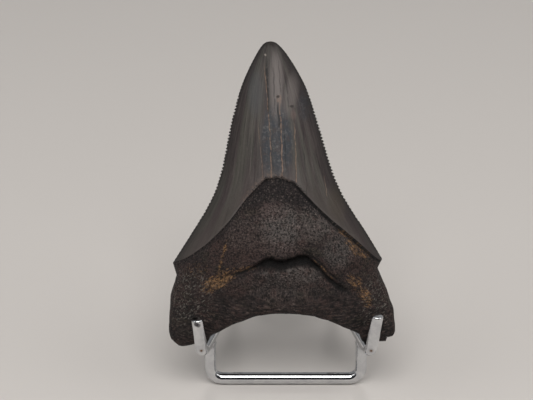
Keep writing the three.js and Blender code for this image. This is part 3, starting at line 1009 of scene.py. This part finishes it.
def marks_and_painted_reflections():
    """Centre, radius, strength and colour of each mark: a brown dot on each elbow, grey welds, and painted
    dark reflections on the prong tips."""
    marks = []
    for side in (-1, 1):
        dot = (side * ELBOW[0], ELBOW[1] - 0.93 * ROD, ARM_HEIGHT + 0.88 * ROD)
        weld = (side * FOOT_HALF, -0.5 * ROD, ARM_HEIGHT - ROD)
        marks += [(dot, 0.95, 0.3, MARK_BROWN), (dot, 0.45, 1.0, MARK_BROWN), (weld, 1.7, 0.6, WELD_GREY)]
    left, right = [side * (ELBOW[0] + PRONG_LEANS[side]) for side in (-1, 1)]
    # Painted dark reflections on the prong tips and just below the left one.
    marks += [
        ((left - 0.2, ELBOW[1] - ROD, PRONG_TOPS[-1] - 1.0), 0.9, 0.85, TIP_PAINTED_REFLECTION),
        ((left + 0.4, ELBOW[1] - ROD, PRONG_TOPS[-1] - 1.3), 0.8, 0.75, TIP_PAINTED_REFLECTION),
        ((left - 0.8, ELBOW[1] - 0.3, PRONG_TOPS[-1]), 1.3, 0.85, TIP_PAINTED_REFLECTION),
        ((right - 1.3, ELBOW[1] - 0.8, PRONG_TOPS[1] - 0.3), 0.6, 0.7, TIP_PAINTED_REFLECTION),
    ]
    return marks


def chrome_material():
    material, s, surface = material_with("polished_chrome")
    surface.inputs["Metallic"].default_value = 1.0
    place = s.add("TexCoord", {}, "Object")
    colour = s.mix(s.grains(place, 330.0, 0.3, 0.7, 4.0, 0.7), CHROME_DULL, CHROME_BRIGHT)
    # Brown dots, weld marks and the painted dark reflections on the prong tips, laid over the chrome.
    for centre, radius, strength, mark_colour in marks_and_painted_reflections():
        ends = {0: place, 1: STAND_ORIGIN + Vector(centre) * MM}
        away = s.add("VectorMath", ends, "Value", operation="DISTANCE")
        colour = s.cover(colour, mark_colour, strength, s.fade(away, radius * MM, radius * 0.4 * MM))
    roughness = s.linear(s.noise(place, 420.0, 3.0), 0.12, 0.02)
    dress(s, surface, colour, roughness, s.bump(s.noise(place, 120.0, 1.0), 0.05 * MM, 0.5))
    return material


# ---- studio
FLOOR_HALF = 4.0                  # metres
FLOOR_TONES = ((0.572, 0.544, 0.518), (0.594, 0.565, 0.538))
ROOM_PALE, ROOM_DARK = (0.28, 0.280, 0.280), (0.03, 0.03, 0.032)
DAYLIGHT, WARM = (1.0, 0.985, 0.97), (1.0, 0.98, 0.96)
# Each lamp: name, degrees round from the front, degrees up, metres away, size in metres, watts,
# and colour.
LAMPS = [
    ("window", 0, 56.5, 1.2, (1.0, 0.64), 10.6, DAYLIGHT),
    ("back_light", 177, 33, 2.5, (0.7, 0.5), 12.6, DAYLIGHT),
    ("left_fill", -75, 40, 0.9, (0.6, 0.6), 1.1, WARM),
    ("right_fill", 75, 40, 0.9, (0.6, 0.6), 1.25, WARM),
]
CAMERA_ELEVATION = 25             # degrees
CAMERA_DISTANCE = 0.400           # metres
CAMERA_LENS = 102.7
CAMERA_AIM = Vector((-4.05, -6.90, 5.6)) * MM    # from the middle of the object's box


def floor_material():
    material, s, surface = material_with("pale_floor")
    place = s.add("TexCoord", {}, "Object")
    s.give(surface.inputs["Base Color"], s.mix(s.noise(place, 3.0), *FLOOR_TONES))
    surface.inputs["Roughness"].default_value = 0.9
    return material


def make_floor():
    corners = [(x * FLOOR_HALF, y * FLOOR_HALF, 0) for x, y in ((-1, -1), (1, -1), (1, 1), (-1, 1))]
    mesh = bpy.data.meshes.new("floor")
    mesh.from_pydata(corners, [], [(0, 1, 2, 3)])
    mesh.materials.append(floor_material())
    floor = bpy.data.objects.new("studio_floor", mesh)
    scene.collection.objects.link(floor)


def direction(azimuth, elevation):
    """Unit vector for degrees round from the front and above the horizon."""
    a, e = math.radians(azimuth), math.radians(elevation)
    return Vector((math.sin(a) * math.cos(e), -math.cos(a) * math.cos(e), math.sin(e)))


def face_back(thing, target, way, distance):
    """Puts a lamp or the camera that far from the target, this way from it, looking back at it."""
    thing.location = target + way * distance
    thing.rotation_mode = "QUATERNION"
    thing.rotation_quaternion = (-way).to_track_quat("-Z", "Y")
    scene.collection.objects.link(thing)


def area_light(name, azimuth, elevation, distance, size, power, colour):
    light = bpy.data.lights.new(name, "AREA")
    light.shape = "RECTANGLE"
    light.size, light.size_y = size
    light.energy = power
    light.color = colour
    lamp = bpy.data.objects.new(name, light)
    face_back(lamp, Vector((0, 0, 0)), direction(azimuth, elevation), distance)
    return lamp


def make_world():
    """A pale room that is darker in front, low down, and straight above."""
    world = bpy.data.worlds.new("studio")
    world.use_nodes = True
    scene.world = world
    s = Shading(world.node_tree)
    way = s.add("TexCoord", {}, "Generated")
    ahead, above = [
        s.add("VectorMath", {0: way, 1: direction(0, elevation)}, "Value", operation="DOT_PRODUCT")
        for elevation in (5, 90)
    ]
    dark = s.most(s.fade(ahead, 0.45, 0.8), s.fade(above, 0.82, 0.93))
    colour = s.mix(dark, ROOM_PALE, ROOM_DARK)
    s.give(world.node_tree.nodes["Background"].inputs["Color"], colour)


def make_lights():
    lamps = {row[0]: area_light(*row) for row in LAMPS}
    # It makes the soft shadow in front, and no glint in the chrome.
    lamps["back_light"].visible_glossy = False


def make_camera():
    low, high = CAD_BOX
    camera = bpy.data.cameras.new("camera")
    camera.lens = CAMERA_LENS
    holder = bpy.data.objects.new("camera", camera)
    face_back(holder, (low + high) / 2 + CAMERA_AIM, direction(0, CAMERA_ELEVATION), CAMERA_DISTANCE)
    scene.camera = holder


scene.view_settings.view_transform = "Standard"
make_camera()
make_world()
make_lights()
make_floor()
make_tooth(root_material(), enamel_material())
make_stand(chrome_material())
